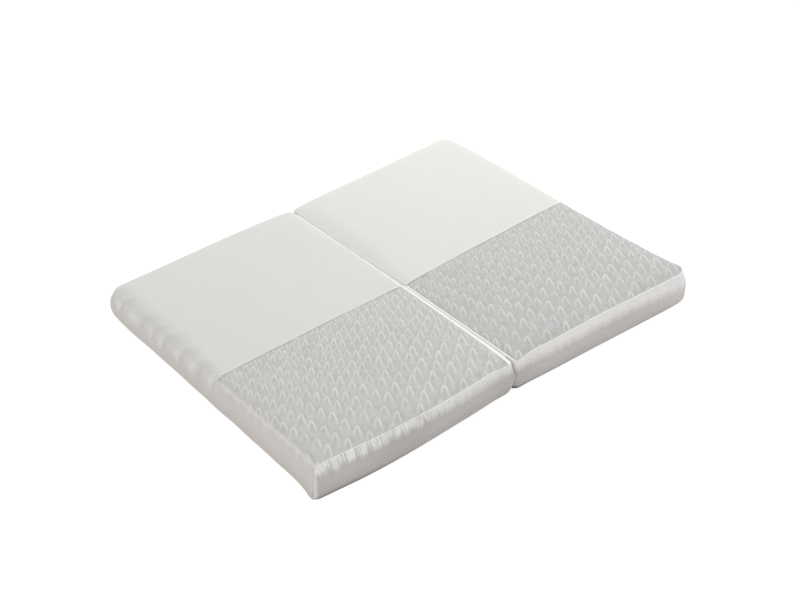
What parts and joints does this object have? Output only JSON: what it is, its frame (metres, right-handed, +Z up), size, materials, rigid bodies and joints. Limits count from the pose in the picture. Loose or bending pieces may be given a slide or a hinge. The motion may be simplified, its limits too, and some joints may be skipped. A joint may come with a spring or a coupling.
{
  "type": "folding foam mattress",
  "caption": "Folding foam mattress lying open and flat, two cloth-covered pads joined along a fold, back half plain knit, front half grey figured knit, mesh front band.",
  "frame": {"origin": "middle of the bounding box on the floor, under the fold", "axes": "+X from the left pad to the right pad across the fold, +Y from the mesh front to the back, +Z up"},
  "size_m": [0.9778, 0.7486, 0.077],
  "materials": {
    "pad_cover": "matt knit over foam",
    "plain_knit": "matt fine knit",
    "figured_knit": "matt figured knit with pale outlines",
    "mesh_band": "matt ribbed spacer mesh",
    "wall_knit": "matt knit, gathered at its seams",
    "welt": "smooth white tape",
    "hinge_cloth": "matt woven strip"
  },
  "bodies": {
    "root": {"pad_left": "pad_cover", "pad_right": "pad_cover", "top_plain_left": "plain_knit", "top_plain_right": "plain_knit", "top_figured_left": "figured_knit", "top_figured_right": "figured_knit", "band_mesh_left": "mesh_band", "band_mesh_right": "mesh_band", "wall_plain_left": "wall_knit", "wall_plain_right": "wall_knit", "welt_left": "welt", "welt_right": "welt", "hinge_strip": "hinge_cloth"}
  },
  "joints": []
}
